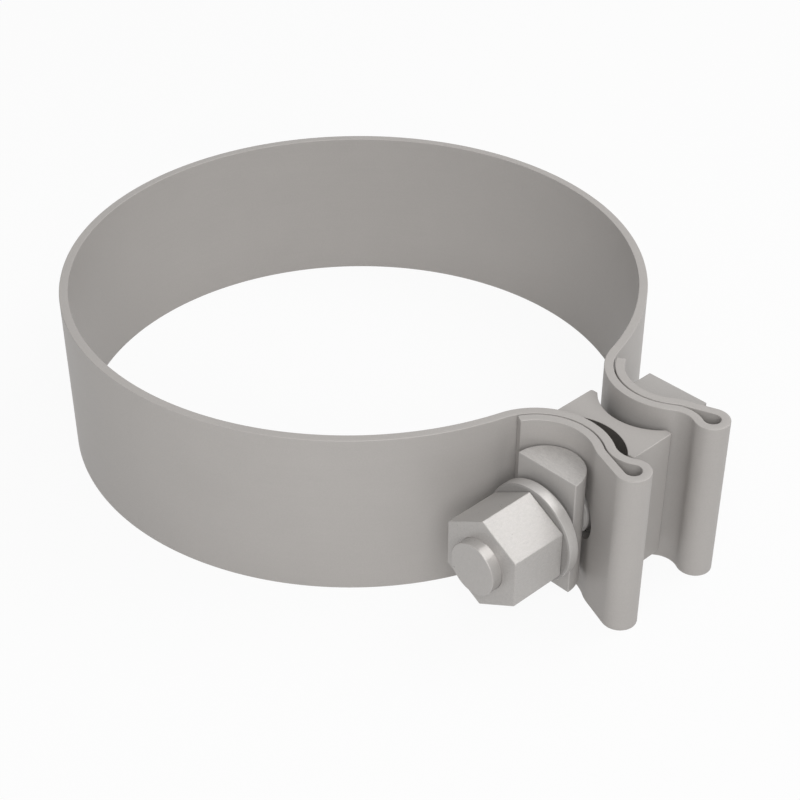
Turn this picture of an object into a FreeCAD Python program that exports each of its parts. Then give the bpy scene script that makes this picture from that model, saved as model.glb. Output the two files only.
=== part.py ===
import FreeCAD, Part

import math
import os

import Sketcher
from FreeCAD import Placement, Rotation, Vector

# Exhaust lap-joint clamp: a folded steel band drawn up by one bolt across its two ears.
# Frame: origin on the pipe's axis at mid-width, +Z along the pipe, +X out through the gap
# between the ears. The bolt lies along Y, with its head on +Y and its nut on -Y.

# Driving dimensions in millimetres, and in degrees for the two angles
SIZES = [
    ("pipe_bore", 107.1, "inside diameter of the ring"),
    ("band_width", 31.75, "width of the strap along the pipe"),
    ("band_wall", 1.65, "thickness of the strap"),
    ("ear_gap", 9.85, "between the two ears, on the bolt's axis"),
    ("fold_gap", 0.25, "between the two layers of an ear"),
    ("cradle_ease", 2.59, "how much larger in radius a cradle is than the half round in it"),
    ("neck_gap", 16.0, "between the two ears at the necks behind the loops"),
    ("neck_radius", 5.0, "bend at the neck, to the middle of the inner layer"),
    ("neck_turn", 59.15, "angle at which the neck's bend ends and the loop's begins"),
    ("loop_bore", 3.0, "inside diameter of the loop where the strap turns back"),
    ("lap_angle", 27.0, "where the turned-back end stops, below the ring side of its cradle"),
    ("slot_clearance", 0.34, "on the half width, between the bolt and the slots in the ears"),
    ("slot_travel", 2.8, "how much longer than wide the slots are"),
    ("bolt_diameter", 9.525, "shank of the bolt"),
    ("bolt_end", 2.1, "bolt that stands out of the nut"),
    ("bolt_chamfer", 0.5, "chamfer on the end of the bolt"),
    ("saddle_wall", 1.5875, "half round beside the bolt, on head and loose bar alike"),
    ("saddle_length", 22.86, "length of head and bar along the pipe"),
    ("head_flank", 3.3, "straight side of the bolt's head behind its half round"),
    ("bar_flank", 0.3, "straight side of the loose bar behind its half round"),
    ("seat_clearance", 0.3, "between a half round and the ear that it bears on"),
    ("hole_clearance", 0.4, "on the radius, where the shank passes through a drilled hole"),
    ("washer_diameter", 18.2, "outside of the washer"),
    ("washer_thickness", 2.5, "thickness of the washer"),
    ("slack", 1.3, "between bar and washer, as far as the nut is backed off"),
    ("nut_flats", 15.2, "nut, across its flats"),
    ("nut_height", 11.2, "height of the nut"),
    ("nut_lead", 0.4, "countersink at each mouth of the nut's thread"),
    ("face_clearance", 0.05, "between nut and washer"),
    ("thread_clearance", 0.05, "on the radius, between the nut's thread and the bolt's"),
    ("spacer_length", 25.4, "spacer, along the pipe"),
    ("spacer_width", 17.86, "spacer, outwards from the pipe"),
    ("spacer_height", 9.9, "spacer, across its tips"),
    ("spacer_waist", 2.7, "spacer, at its thinnest, on the bolt's axis"),
    ("spacer_tip", 1.34, "flat of each of the spacer's four tips"),
    ("spacer_round", 0.5, "rounding of the spacer's tips"),
    ("spacer_shift", 0.75, "how far the loose spacer lies towards the bolt's head"),
]
SIZE = {name: value for name, value, meaning in SIZES}

# The half round of head and bar, the face of an ear towards the gap, seen from the middle of
# its cradle, and the bolt's distance from the pipe's axis, where that face runs into the ring
HALF_ROUND = "(sizes.bolt_diameter / 2 + sizes.saddle_wall)"
EAR_FACE = "(%s + sizes.cradle_ease + 2 * sizes.band_wall + sizes.fold_gap)" % HALF_ROUND
BOLT_REACH = "sqrt((sizes.pipe_bore / 2 + {0})^2 - (sizes.ear_gap / 2 + {0})^2)".format(EAR_FACE)

# Distances from the clamp's middle plane along the bolt
CROWN = "sizes.ear_gap / 2 + 2 * sizes.band_wall + sizes.fold_gap + sizes.seat_clearance"
WASHER_FRONT = "%s + %s + sizes.bar_flank + sizes.slack" % (CROWN, HALF_ROUND)
NUT_FRONT = WASHER_FRONT + " + sizes.washer_thickness + sizes.face_clearance"
BOLT_TIP = NUT_FRONT + " + sizes.nut_height + sizes.bolt_end"

ORIGIN = Vector(0, 0, 0)
UP = Vector(0, 0, 1)
# How a sketch counts the places on an edge, and its own axes
START, END, CENTRE = range(1, 4)
X_AXIS, Y_AXIS = range(-1, -3, -1)


def make_sheet(doc):
    """The driving dimensions as a sheet, one row each: name, value and meaning."""
    sheet = doc.addObject("Spreadsheet::Sheet", "sizes")
    for row, (name, value, meaning) in enumerate(SIZES, start=1):
        sheet.set("A%d" % row, name)
        sheet.set("B%d" % row, str(value))
        sheet.set("C%d" % row, meaning)
        sheet.setAlias("B%d" % row, name)
    doc.recompute()


def new_body(doc, label):
    return doc.addObject("PartDesign::Body", label)


def origin_plane(body, role):
    return [item for item in body.Origin.OriginFeatures if item.Role == role][0]


def new_sketch(body, name, role):
    """An empty sketch on one of the body's own origin planes."""
    sketch = body.newObject("Sketcher::SketchObject", name)
    sketch.AttachmentSupport = [(origin_plane(body, role), "")]
    sketch.MapMode = "FlatFace"
    return sketch


def tie(sketch, kind, *places):
    sketch.addConstraint(Sketcher.Constraint(kind, *places))


def hold(sketch, name, formula, kind, *places):
    """A named dimension of the sketch that follows the sheet."""
    index = sketch.addConstraint(Sketcher.Constraint(kind, *places))
    sketch.renameConstraint(index, name)
    sketch.setExpression("Constraints." + name, formula)


def polar(centre, radius, degrees):
    """The point at a distance and a bearing from a centre."""
    turn = math.radians(degrees)
    return centre + Vector(radius * math.cos(turn), radius * math.sin(turn), 0)


def bearing(start, end):
    return math.degrees(math.atan2(end.y - start.y, end.x - start.x))


def arc(centre, radius, low, high):
    """An arc that runs anticlockwise from one bearing to another."""
    circle = Part.Circle(centre, UP, radius)
    return Part.ArcOfCircle(circle, math.radians(low), math.radians(high))


def line(start, end):
    return Part.LineSegment(start, end)


def both_ways(body, kind, name, sketch, formula):
    """A pad or pocket of the sketch, as far to one side of its plane as to the other."""
    feature = body.newObject("PartDesign::" + kind, name)
    feature.Profile = sketch
    feature.SideType = "Symmetric"
    feature.setExpression("Length", formula)
    return feature


def one_way(body, name, sketch, formula):
    """A pad of a sketch that the bolt's axis crosses squarely, away from the bolt's head."""
    pad = body.newObject("PartDesign::Pad", name)
    pad.Profile = sketch
    pad.setExpression("Length", formula)


def cut(body, name, sketch, formula):
    """A pocket right through the body, which stops the build if it takes nothing away."""
    body.Document.recompute()
    before = body.Shape.Volume
    both_ways(body, "Pocket", name, sketch, formula)
    body.Document.recompute()
    if body.Shape.Volume > before - 1:
        raise ValueError("%s took nothing from %s" % (name, body.Label))


def break_edges(body, kind, name, wanted, size, formula):
    """A fillet or chamfer on each of the body's edges that passes a test."""
    body.Document.recompute()
    base = body.Tip
    numbered = enumerate(base.Shape.Edges, start=1)
    names = ["Edge%d" % number for number, edge in numbered if wanted(edge)]
    feature = body.newObject("PartDesign::" + kind, name)
    feature.Base = (base, names)
    feature.setExpression(size, formula)


def draw_circle(body, name, formula, radius):
    """A circle about the bolt's axis, on the plane that the axis crosses squarely."""
    sketch = new_sketch(body, name, "XZ_Plane")
    circle = sketch.addGeometry(Part.Circle(ORIGIN, UP, radius), False)
    tie(sketch, "Coincident", circle, CENTRE, X_AXIS, START)
    hold(sketch, "radius", formula, "Radius", circle, radius)
    return sketch


def drill(body, clearance, depth):
    """A hole for the bolt, on its axis, with a named clearance."""
    radius = SIZE["bolt_diameter"] / 2 + SIZE[clearance]
    formula = "sizes.bolt_diameter / 2 + sizes." + clearance
    cut(body, "bolt_hole", draw_circle(body, "hole_outline", formula, radius), depth)


def place(body, height, rotation=Rotation()):
    """Puts a body's origin on the bolt's axis, at a distance from the middle plane."""
    body.Placement = Placement(ORIGIN, rotation)
    body.setExpression("Placement.Base.x", BOLT_REACH)
    body.setExpression("Placement.Base.y", height)


# The strap's middle line, from the back of the ring to the turned-back end
def strap_course():
    """Bends as (centre, mean radius, first bearing, last bearing), in the order they come.

    The bearing rises where the strap bends left and falls where it bends right. The ring runs
    into a cradle round the bolt, over a neck and round the loop. The layer that turns back is
    straight for a little, then lies along the neck and the cradle outside the first layer.
    """
    wall = SIZE["band_wall"]
    layer = wall + SIZE["fold_gap"]
    bore = SIZE["pipe_bore"] / 2
    half_gap = SIZE["ear_gap"] / 2
    half_round = SIZE["bolt_diameter"] / 2 + SIZE["saddle_wall"]
    ear_face = half_round + SIZE["cradle_ease"] + wall + layer
    reach = math.sqrt((bore + ear_face) ** 2 - (half_gap + ear_face) ** 2)
    cradle = Vector(reach, half_gap + ear_face, 0)
    cradle_radius = ear_face - wall / 2

    neck_radius = SIZE["neck_radius"]
    neck_height = (SIZE["neck_gap"] + wall) / 2 - neck_radius
    span = cradle_radius + neck_radius
    neck = Vector(reach + math.sqrt(span ** 2 - (cradle.y - neck_height) ** 2), neck_height, 0)
    loop_radius = (SIZE["loop_bore"] + wall) / 2
    loop = polar(neck, neck_radius + loop_radius, SIZE["neck_turn"])

    leave_ring = bearing(ORIGIN, cradle)
    leave_cradle = bearing(cradle, neck)
    # The turned-back layer leaves the loop along the line that touches loop and outer neck
    rise = (neck_radius + layer - loop_radius) / (neck_radius + loop_radius)
    leave_loop = SIZE["neck_turn"] + 90 - math.degrees(math.asin(rise))
    return [
        (ORIGIN, bore + wall / 2, 180, leave_ring),
        (cradle, cradle_radius, leave_ring - 180, leave_cradle),
        (neck, neck_radius, leave_cradle + 180, SIZE["neck_turn"]),
        (loop, loop_radius, SIZE["neck_turn"] - 180, leave_loop),
        (neck, neck_radius + layer, leave_loop, leave_cradle + 180),
        (cradle, cradle_radius - layer, leave_cradle, SIZE["lap_angle"] - 180),
    ]


def strap_face(course, side):
    """Edges of one face of the strap, right of its middle line for +1 and left for -1."""
    edges = []
    for centre, mean, first, last in course:
        turn = 1 if last > first else -1
        radius = mean + side * turn * SIZE["band_wall"] / 2
        edges.append((arc(centre, radius, min(first, last), max(first, last)), turn))
    loop, lap_neck = edges[3], edges[4]
    straight = line(loop[0].EndPoint, lap_neck[0].StartPoint)
    return edges[:4] + [(straight, 1)] + edges[4:]


def draw_face(sketch, edges):
    """Adds the edges of one face, each running smoothly into the next, and returns them."""
    drawn = [(sketch.addGeometry(edge, False), turn) for edge, turn in edges]
    for (one, one_turn), (other, other_turn) in zip(drawn, drawn[1:]):
        leaving = END if one_turn > 0 else START
        arriving = START if other_turn > 0 else END
        tie(sketch, "Tangent", one, leaving, other, arriving)
    return [edge for edge, turn in drawn]


def join(sketch, one, one_end, other, other_end):
    """A straight edge between the ends of two others."""
    points = [sketch.getPoint(one, one_end), sketch.getPoint(other, other_end)]
    edge = sketch.addGeometry(line(*points), False)
    tie(sketch, "Coincident", edge, START, one, one_end)
    tie(sketch, "Coincident", edge, END, other, other_end)
    return edge


def draw_strap(body):
    """Half the strap seen along the pipe, as a closed outline held by its own geometry."""
    sketch = new_sketch(body, "strap_outline", "XY_Plane")
    course = strap_course()
    near = draw_face(sketch, strap_face(course, 1))
    far = draw_face(sketch, strap_face(course, -1))
    ring, cradle, neck, loop, straight, lap_neck, lap = near
    far_ring, far_cradle, far_neck, far_loop, far_straight, far_lap_neck, far_lap = far
    join(sketch, far_ring, END, ring, END)
    strap_end = join(sketch, lap, START, far_lap, START)

    # Bends that share a centre
    shared = [(cradle, lap), (cradle, far_cradle), (cradle, far_lap), (neck, lap_neck),
              (neck, far_neck), (neck, far_lap_neck), (loop, far_loop)]
    for one, other in shared:
        tie(sketch, "Coincident", one, CENTRE, other, CENTRE)
    for edge in (ring, far_ring):
        tie(sketch, "Coincident", edge, CENTRE, X_AXIS, START)
        tie(sketch, "PointOnObject", edge, END, X_AXIS)
    tie(sketch, "PointOnObject", cradle, CENTRE, strap_end)

    # The ring and the cradle
    wall = SIZE["band_wall"]
    bore = SIZE["pipe_bore"] / 2
    cradle_centre, neck_centre, loop_centre = [course[place][0] for place in (1, 2, 3)]
    hold(sketch, "bore", "sizes.pipe_bore / 2", "Radius", ring, bore)
    hold(sketch, "outside", "sizes.pipe_bore / 2 + sizes.band_wall", "Radius", far_ring, bore + wall)
    hold(sketch, "ear_face", EAR_FACE, "Radius", cradle, cradle_centre.y - SIZE["ear_gap"] / 2)
    hold(sketch, "cradle_height", "sizes.ear_gap / 2 + " + EAR_FACE,
         "DistanceY", X_AXIS, START, cradle, CENTRE, cradle_centre.y)

    # The neck and the loop
    radius = SIZE["neck_radius"]
    hold(sketch, "neck_height", "(sizes.neck_gap + sizes.band_wall) / 2 - sizes.neck_radius",
         "DistanceY", X_AXIS, START, neck, CENTRE, neck_centre.y)
    hold(sketch, "neck_bend", "sizes.neck_radius - sizes.band_wall / 2", "Radius", neck, radius - wall / 2)
    hold(sketch, "loop_bend", "sizes.loop_bore / 2 + sizes.band_wall",
         "Radius", loop, SIZE["loop_bore"] / 2 + wall)
    link = sketch.addGeometry(line(neck_centre, loop_centre), True)
    tie(sketch, "Coincident", link, START, neck, CENTRE)
    tie(sketch, "Coincident", link, END, loop, CENTRE)
    hold(sketch, "neck_turn", "sizes.neck_turn * 1 deg", "Angle", link, math.radians(SIZE["neck_turn"]))

    # The layer that turns back, and its square-cut end
    inside = radius + wall / 2 + SIZE["fold_gap"]
    hold(sketch, "lap_inside", "sizes.neck_radius + sizes.band_wall / 2 + sizes.fold_gap",
         "Radius", far_lap_neck, inside)
    hold(sketch, "lap_outside", "sizes.neck_radius + 1.5 * sizes.band_wall + sizes.fold_gap",
         "Radius", lap_neck, inside + wall)
    hold(sketch, "lap_end", "(sizes.lap_angle - 180) * 1 deg",
         "Angle", strap_end, math.radians(SIZE["lap_angle"] - 180))
    return sketch


def draw_slot(body):
    """A slot with round ends on the bolt's axis, longer along the strap than along the pipe."""
    sketch = new_sketch(body, "slot_outline", "XZ_Plane")
    radius = SIZE["bolt_diameter"] / 2 + SIZE["slot_clearance"]
    reach = strap_course()[1][0].x
    half = SIZE["slot_travel"] / 2
    near, far = Vector(reach - half, 0, 0), Vector(reach + half, 0, 0)
    rise = Vector(0, radius, 0)
    left = sketch.addGeometry(arc(near, radius, 90, 270), False)
    lower = sketch.addGeometry(line(near - rise, far - rise), False)
    right = sketch.addGeometry(arc(far, radius, -90, 90), False)
    upper = sketch.addGeometry(line(far + rise, near + rise), False)
    tie(sketch, "Tangent", left, END, lower, START)
    tie(sketch, "Tangent", lower, END, right, START)
    tie(sketch, "Tangent", right, END, upper, START)
    tie(sketch, "Tangent", upper, END, left, START)
    tie(sketch, "PointOnObject", left, CENTRE, X_AXIS)
    tie(sketch, "PointOnObject", right, CENTRE, X_AXIS)
    hold(sketch, "end_radius", "sizes.bolt_diameter / 2 + sizes.slot_clearance", "Radius", left, radius)
    hold(sketch, "near_end", BOLT_REACH + " - sizes.slot_travel / 2",
         "DistanceX", X_AXIS, START, left, CENTRE, near.x)
    hold(sketch, "far_end", BOLT_REACH + " + sizes.slot_travel / 2",
         "DistanceX", X_AXIS, START, right, CENTRE, far.x)
    return sketch


def build_band(doc):
    """The strap: one half drawn and mirrored, then the bolt's slot cut through both ears."""
    body = new_body(doc, "band")
    half = both_ways(body, "Pad", "half_band", draw_strap(body), "sizes.band_width")
    whole = body.newObject("PartDesign::Mirrored", "both_halves")
    whole.Originals = [half]
    whole.MirrorPlane = (origin_plane(body, "XZ_Plane"), [""])
    body.Tip = whole
    cut(body, "bolt_slots", draw_slot(body), "2 * sizes.pipe_bore")
    return body


def draw_saddle(body, flank_name):
    """A half round with straight flanks behind it. Its crown is at the body's origin."""
    sketch = new_sketch(body, "saddle_outline", "XY_Plane")
    radius, flank = SIZE["bolt_diameter"] / 2 + SIZE["saddle_wall"], SIZE[flank_name]
    side, rise = Vector(radius, 0, 0), Vector(0, radius, 0)
    back = Vector(0, radius + flank, 0)
    crown = sketch.addGeometry(arc(rise, radius, 180, 360), False)
    right = sketch.addGeometry(line(rise + side, back + side), False)
    flat = sketch.addGeometry(line(back + side, back - side), False)
    left = sketch.addGeometry(line(back - side, rise - side), False)
    tie(sketch, "Tangent", crown, END, right, START)
    tie(sketch, "Coincident", right, END, flat, START)
    tie(sketch, "Coincident", flat, END, left, START)
    tie(sketch, "Tangent", left, END, crown, START)
    tie(sketch, "Horizontal", flat)
    tie(sketch, "Vertical", right)
    tie(sketch, "PointOnObject", crown, CENTRE, Y_AXIS)
    hold(sketch, "half_round", HALF_ROUND, "Radius", crown, radius)
    hold(sketch, "crown", HALF_ROUND, "DistanceY", X_AXIS, START, crown, CENTRE, radius)
    hold(sketch, "flank", "sizes." + flank_name, "DistanceY", right, START, right, END, flank)
    return sketch


def build_bolt(doc):
    """The bolt: its D-shaped head lies in the far ear's cradle, its shank runs towards -Y."""
    body = new_body(doc, "d_head_bolt")
    both_ways(body, "Pad", "head", draw_saddle(body, "head_flank"), "sizes.saddle_length")
    outline = draw_circle(body, "shank_outline", "sizes.bolt_diameter / 2", SIZE["bolt_diameter"] / 2)
    outline.setExpression("AttachmentOffset.Base.z", "-" + HALF_ROUND)
    one_way(body, "shank", outline, "%s + %s + %s" % (HALF_ROUND, CROWN, BOLT_TIP))
    doc.recompute()
    tip = body.Shape.BoundBox.YMin
    break_edges(body, "Chamfer", "point", lambda edge: edge.BoundBox.YMax < tip + 0.01,
                "Size", "sizes.bolt_chamfer")
    place(body, CROWN)
    return body


def build_bar(doc):
    """The loose half-round bar, drilled for the bolt, that lies in the near ear's cradle."""
    body = new_body(doc, "half_round_bar")
    both_ways(body, "Pad", "bar", draw_saddle(body, "bar_flank"), "sizes.saddle_length")
    drill(body, "hole_clearance", "4 * (%s + sizes.bar_flank)" % HALF_ROUND)
    place(body, "-(%s)" % CROWN, Rotation(UP, 180))
    return body


def draw_spacer(body):
    """A block seen along the pipe, hollowed from both sides down to its waist."""
    sketch = new_sketch(body, "spacer_outline", "XY_Plane")
    wide, high = SIZE["spacer_width"] / 2, SIZE["spacer_height"] / 2
    inner = wide - SIZE["spacer_tip"]
    sink = high - SIZE["spacer_waist"] / 2
    hollow = (inner ** 2 + sink ** 2) / (2 * sink)
    centre = Vector(0, high - sink + hollow, 0)
    lean = bearing(centre, Vector(inner, high, 0))
    edges = [
        line(Vector(-wide, -high, 0), Vector(-inner, -high, 0)),
        arc(-centre, hollow, -lean, 180 + lean),
        line(Vector(inner, -high, 0), Vector(wide, -high, 0)),
        line(Vector(wide, -high, 0), Vector(wide, high, 0)),
        line(Vector(wide, high, 0), Vector(inner, high, 0)),
        arc(centre, hollow, 180 - lean, 360 + lean),
        line(Vector(-inner, high, 0), Vector(-wide, high, 0)),
        line(Vector(-wide, high, 0), Vector(-wide, -high, 0)),
    ]
    lower_left, lower, lower_right, right, upper_right, upper, upper_left, left = [
        sketch.addGeometry(edge, False) for edge in edges]
    meetings = [
        (lower_left, END, lower, END), (lower, START, lower_right, START),
        (lower_right, END, right, START), (right, END, upper_right, START),
        (upper_right, END, upper, END), (upper, START, upper_left, START),
        (upper_left, END, left, START), (left, END, lower_left, START),
    ]
    for meeting in meetings:
        tie(sketch, "Coincident", *meeting)
    for tip in (lower_left, lower_right, upper_right, upper_left):
        tie(sketch, "Horizontal", tip)
    for tip in (lower_right, upper_right, upper_left):
        tie(sketch, "Equal", lower_left, tip)
    tie(sketch, "Symmetric", lower_left, START, lower_right, END, Y_AXIS)
    tie(sketch, "Symmetric", lower_right, END, upper_right, START, X_AXIS)
    tie(sketch, "Symmetric", upper_right, START, upper_left, END, Y_AXIS)
    tie(sketch, "Equal", lower, upper)

    waist = sketch.addGeometry(line(Vector(0, sink - high, 0), Vector(0, high - sink, 0)), True)
    for end, side in ((START, lower), (END, upper)):
        tie(sketch, "PointOnObject", waist, end, side)
        tie(sketch, "PointOnObject", waist, end, Y_AXIS)
    hold(sketch, "width", "sizes.spacer_width",
         "DistanceX", lower_left, START, lower_right, END, 2 * wide)
    hold(sketch, "height", "sizes.spacer_height", "DistanceY", right, START, right, END, 2 * high)
    hold(sketch, "tip", "sizes.spacer_tip", "DistanceX", lower_left, START, lower_left, END, wide - inner)
    hold(sketch, "waist", "sizes.spacer_waist",
         "DistanceY", waist, START, waist, END, 2 * (high - sink))
    return sketch


def build_spacer(doc):
    """The spacer that floats on the bolt between the ears, with a hollow side to each."""
    body = new_body(doc, "spacer")
    both_ways(body, "Pad", "block", draw_spacer(body), "sizes.spacer_length")
    drill(body, "hole_clearance", "2 * sizes.spacer_height")
    break_edges(body, "Fillet", "round_tips", runs_along_pipe, "Radius", "sizes.spacer_round")
    place(body, "sizes.spacer_shift")
    return body


def runs_along_pipe(edge):
    box = edge.BoundBox
    return box.ZLength > 0.9 * SIZE["spacer_length"] and box.XLength + box.YLength < 0.01


def build_washer(doc):
    """The flat washer between bar and nut."""
    body = new_body(doc, "washer")
    radius = SIZE["washer_diameter"] / 2
    rim = draw_circle(body, "rim_outline", "sizes.washer_diameter / 2", radius)
    one_way(body, "disc", rim, "sizes.washer_thickness")
    drill(body, "hole_clearance", "3 * sizes.washer_thickness")
    place(body, "-(%s)" % WASHER_FRONT)
    return body


def draw_hexagon(body):
    """A hexagon about the bolt's axis, with two of its corners in line with the pipe."""
    sketch = new_sketch(body, "nut_outline", "XZ_Plane")
    radius = SIZE["nut_flats"] / math.sqrt(3)
    corners = [polar(ORIGIN, radius, angle) for angle in range(-30, 330, 60)]
    sides = [sketch.addGeometry(line(start, end), False)
             for start, end in zip(corners, corners[1:] + corners[:1])]
    rim = sketch.addGeometry(Part.Circle(ORIGIN, UP, radius), True)
    for side, after in zip(sides, sides[1:] + sides[:1]):
        tie(sketch, "Coincident", side, END, after, START)
        tie(sketch, "PointOnObject", side, START, rim)
    for side in sides[1:]:
        tie(sketch, "Equal", sides[0], side)
    tie(sketch, "Vertical", sides[0])
    tie(sketch, "Coincident", rim, CENTRE, X_AXIS, START)
    hold(sketch, "corners", "sizes.nut_flats / sqrt(3)", "Radius", rim, radius)
    return sketch


def build_nut(doc):
    """The plain hexagon nut, with a countersink at each mouth of its thread."""
    body = new_body(doc, "hex_nut")
    one_way(body, "hexagon", draw_hexagon(body), "sizes.nut_height")
    drill(body, "thread_clearance", "3 * sizes.nut_height")
    break_edges(body, "Chamfer", "countersinks", is_round, "Size", "sizes.nut_lead")
    place(body, "-(%s)" % NUT_FRONT)
    return body


def is_round(edge):
    return isinstance(edge.Curve, Part.Circle)


def check(doc, pieces):
    """Stops the build if any object failed or any piece isn't one sound solid."""
    for item in doc.Objects:
        if "Invalid" in item.State or "Error" in item.State:
            raise ValueError(item.Label + " failed to build")
    for piece in pieces:
        shape = piece.Shape
        if shape.isNull() or not shape.isValid() or len(shape.Solids) != 1:
            raise ValueError(piece.Label + " isn't one sound solid")


def main():
    doc = FreeCAD.newDocument("exhaust_clamp")
    make_sheet(doc)
    makers = (build_band, build_bolt, build_bar, build_spacer, build_washer, build_nut)
    pieces = [make(doc) for make in makers]
    doc.recompute()
    check(doc, pieces)
    os.makedirs("parts", exist_ok=True)
    for piece in pieces:
        piece.Shape.exportStep("parts/%s.step" % piece.Label)
        print("%-16s %9.1f mm3" % (piece.Label, piece.Shape.Volume))


main()
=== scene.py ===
"""Looks of an open exhaust band clamp: folded strap, spacer, D-head bolt, half-round bar, washer and nut."""

import math

import bmesh
import bpy
import numpy as np
from bpy.props import FloatProperty, FloatVectorProperty, PointerProperty
from mathutils import Matrix, Vector


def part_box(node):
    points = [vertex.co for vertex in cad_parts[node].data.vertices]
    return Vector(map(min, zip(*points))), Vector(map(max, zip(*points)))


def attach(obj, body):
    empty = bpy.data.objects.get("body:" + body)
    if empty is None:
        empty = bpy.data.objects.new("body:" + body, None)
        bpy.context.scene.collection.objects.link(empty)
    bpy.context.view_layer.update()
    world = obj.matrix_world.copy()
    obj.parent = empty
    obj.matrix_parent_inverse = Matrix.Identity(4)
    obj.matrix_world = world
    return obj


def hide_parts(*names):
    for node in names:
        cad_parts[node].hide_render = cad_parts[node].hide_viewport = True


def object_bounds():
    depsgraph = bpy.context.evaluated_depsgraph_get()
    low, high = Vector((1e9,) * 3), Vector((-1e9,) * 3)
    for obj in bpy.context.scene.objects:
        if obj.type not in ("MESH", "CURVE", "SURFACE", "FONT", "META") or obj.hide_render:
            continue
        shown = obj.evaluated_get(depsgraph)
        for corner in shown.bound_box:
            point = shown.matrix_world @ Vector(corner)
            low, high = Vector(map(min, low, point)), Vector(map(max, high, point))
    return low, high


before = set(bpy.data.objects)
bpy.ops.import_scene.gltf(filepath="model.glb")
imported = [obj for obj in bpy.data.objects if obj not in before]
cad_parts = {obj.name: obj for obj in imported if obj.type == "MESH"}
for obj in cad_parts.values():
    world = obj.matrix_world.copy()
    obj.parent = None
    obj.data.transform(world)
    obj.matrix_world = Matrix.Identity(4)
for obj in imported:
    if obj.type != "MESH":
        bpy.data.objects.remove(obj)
CAD_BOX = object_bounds()
MM = 0.001

bl_info = {
    "name": "Exhaust clamp",
    "version": (1, 0, 0),
    "blender": (4, 5, 0),
    "location": "View3D > Sidebar > Exhaust clamp",
    "description": "Makes the visible pieces of an open exhaust band clamp around its packed model",
    "category": "Add Mesh",
}


def span(node, axis):
    """Length of a CAD node's box along one axis, in metres."""
    low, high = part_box(node)
    return high[axis] - low[axis]


def middle(node, axis):
    """Middle of a CAD node's box along one axis, in metres."""
    low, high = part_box(node)
    return (high[axis] + low[axis]) / 2


# Settings


class ClampStrapSizes(bpy.types.PropertyGroup):
    """Sizes of the folded strap"""

    width: FloatProperty(
        name="Strap width", description="Width of the strap along the pipe",
        default=span("band", 2), min=0.01, max=0.1, unit="LENGTH", precision=5)
    wall: FloatProperty(
        name="Strap wall", description="Thickness of the strap's sheet steel",
        default=1.65 * MM, min=0.0008, max=0.0019, unit="LENGTH", precision=5)
    edge: FloatProperty(
        name="Sheared edge", description="Rounding left along the strap's sheared edges",
        default=0.16 * MM, min=0.00002, max=0.0006, unit="LENGTH", precision=5)
    ear_gap: FloatProperty(
        name="Ear gap", description="Distance between the two ears, on the bolt's axis",
        default=9.85 * MM, min=0.006, max=0.014, unit="LENGTH", precision=5)
    fold_gap: FloatProperty(
        name="Fold gap", description="Distance between the two layers of an ear",
        default=0.25 * MM, min=0.0001, max=0.001, unit="LENGTH", precision=5)
    cradle_ease: FloatProperty(
        name="Cradle ease", description="How much larger in radius a cradle is than the half round in it",
        default=2.59 * MM, min=0.001, max=0.004, unit="LENGTH", precision=5)
    neck_gap: FloatProperty(
        name="Neck gap", description="Distance between the two ears at the necks behind their loops",
        default=16.0 * MM, min=0.012, max=0.02, unit="LENGTH", precision=5)
    neck_radius: FloatProperty(
        name="Neck radius", description="Bend at the neck, to the middle of the inner layer",
        default=5.0 * MM, min=0.003, max=0.008, unit="LENGTH", precision=5)
    neck_turn: FloatProperty(
        name="Neck turn", description="Where the neck's bend ends and the loop's begins",
        default=math.radians(59.15), min=0.7, max=1.4, subtype="ANGLE")
    loop_bore: FloatProperty(
        name="Loop bore", description="Inside diameter of the loop where the strap turns back",
        default=3.0 * MM, min=0.001, max=0.005, unit="LENGTH", precision=5)
    lap_angle: FloatProperty(
        name="Lap angle", description="Where the turned-back end stops, below the ring side of its cradle",
        default=math.radians(27.0), min=0.2, max=1.0, subtype="ANGLE")
    slot_length: FloatProperty(
        name="Slot length", description="Length of the bolt slots, out from the ring",
        default=13.005 * MM, min=0.011, max=0.016, unit="LENGTH", precision=5)
    slot_height: FloatProperty(
        name="Slot height", description="Height of the bolt slots, along the pipe",
        default=10.205 * MM, min=0.0097, max=0.012, unit="LENGTH", precision=5)


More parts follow.
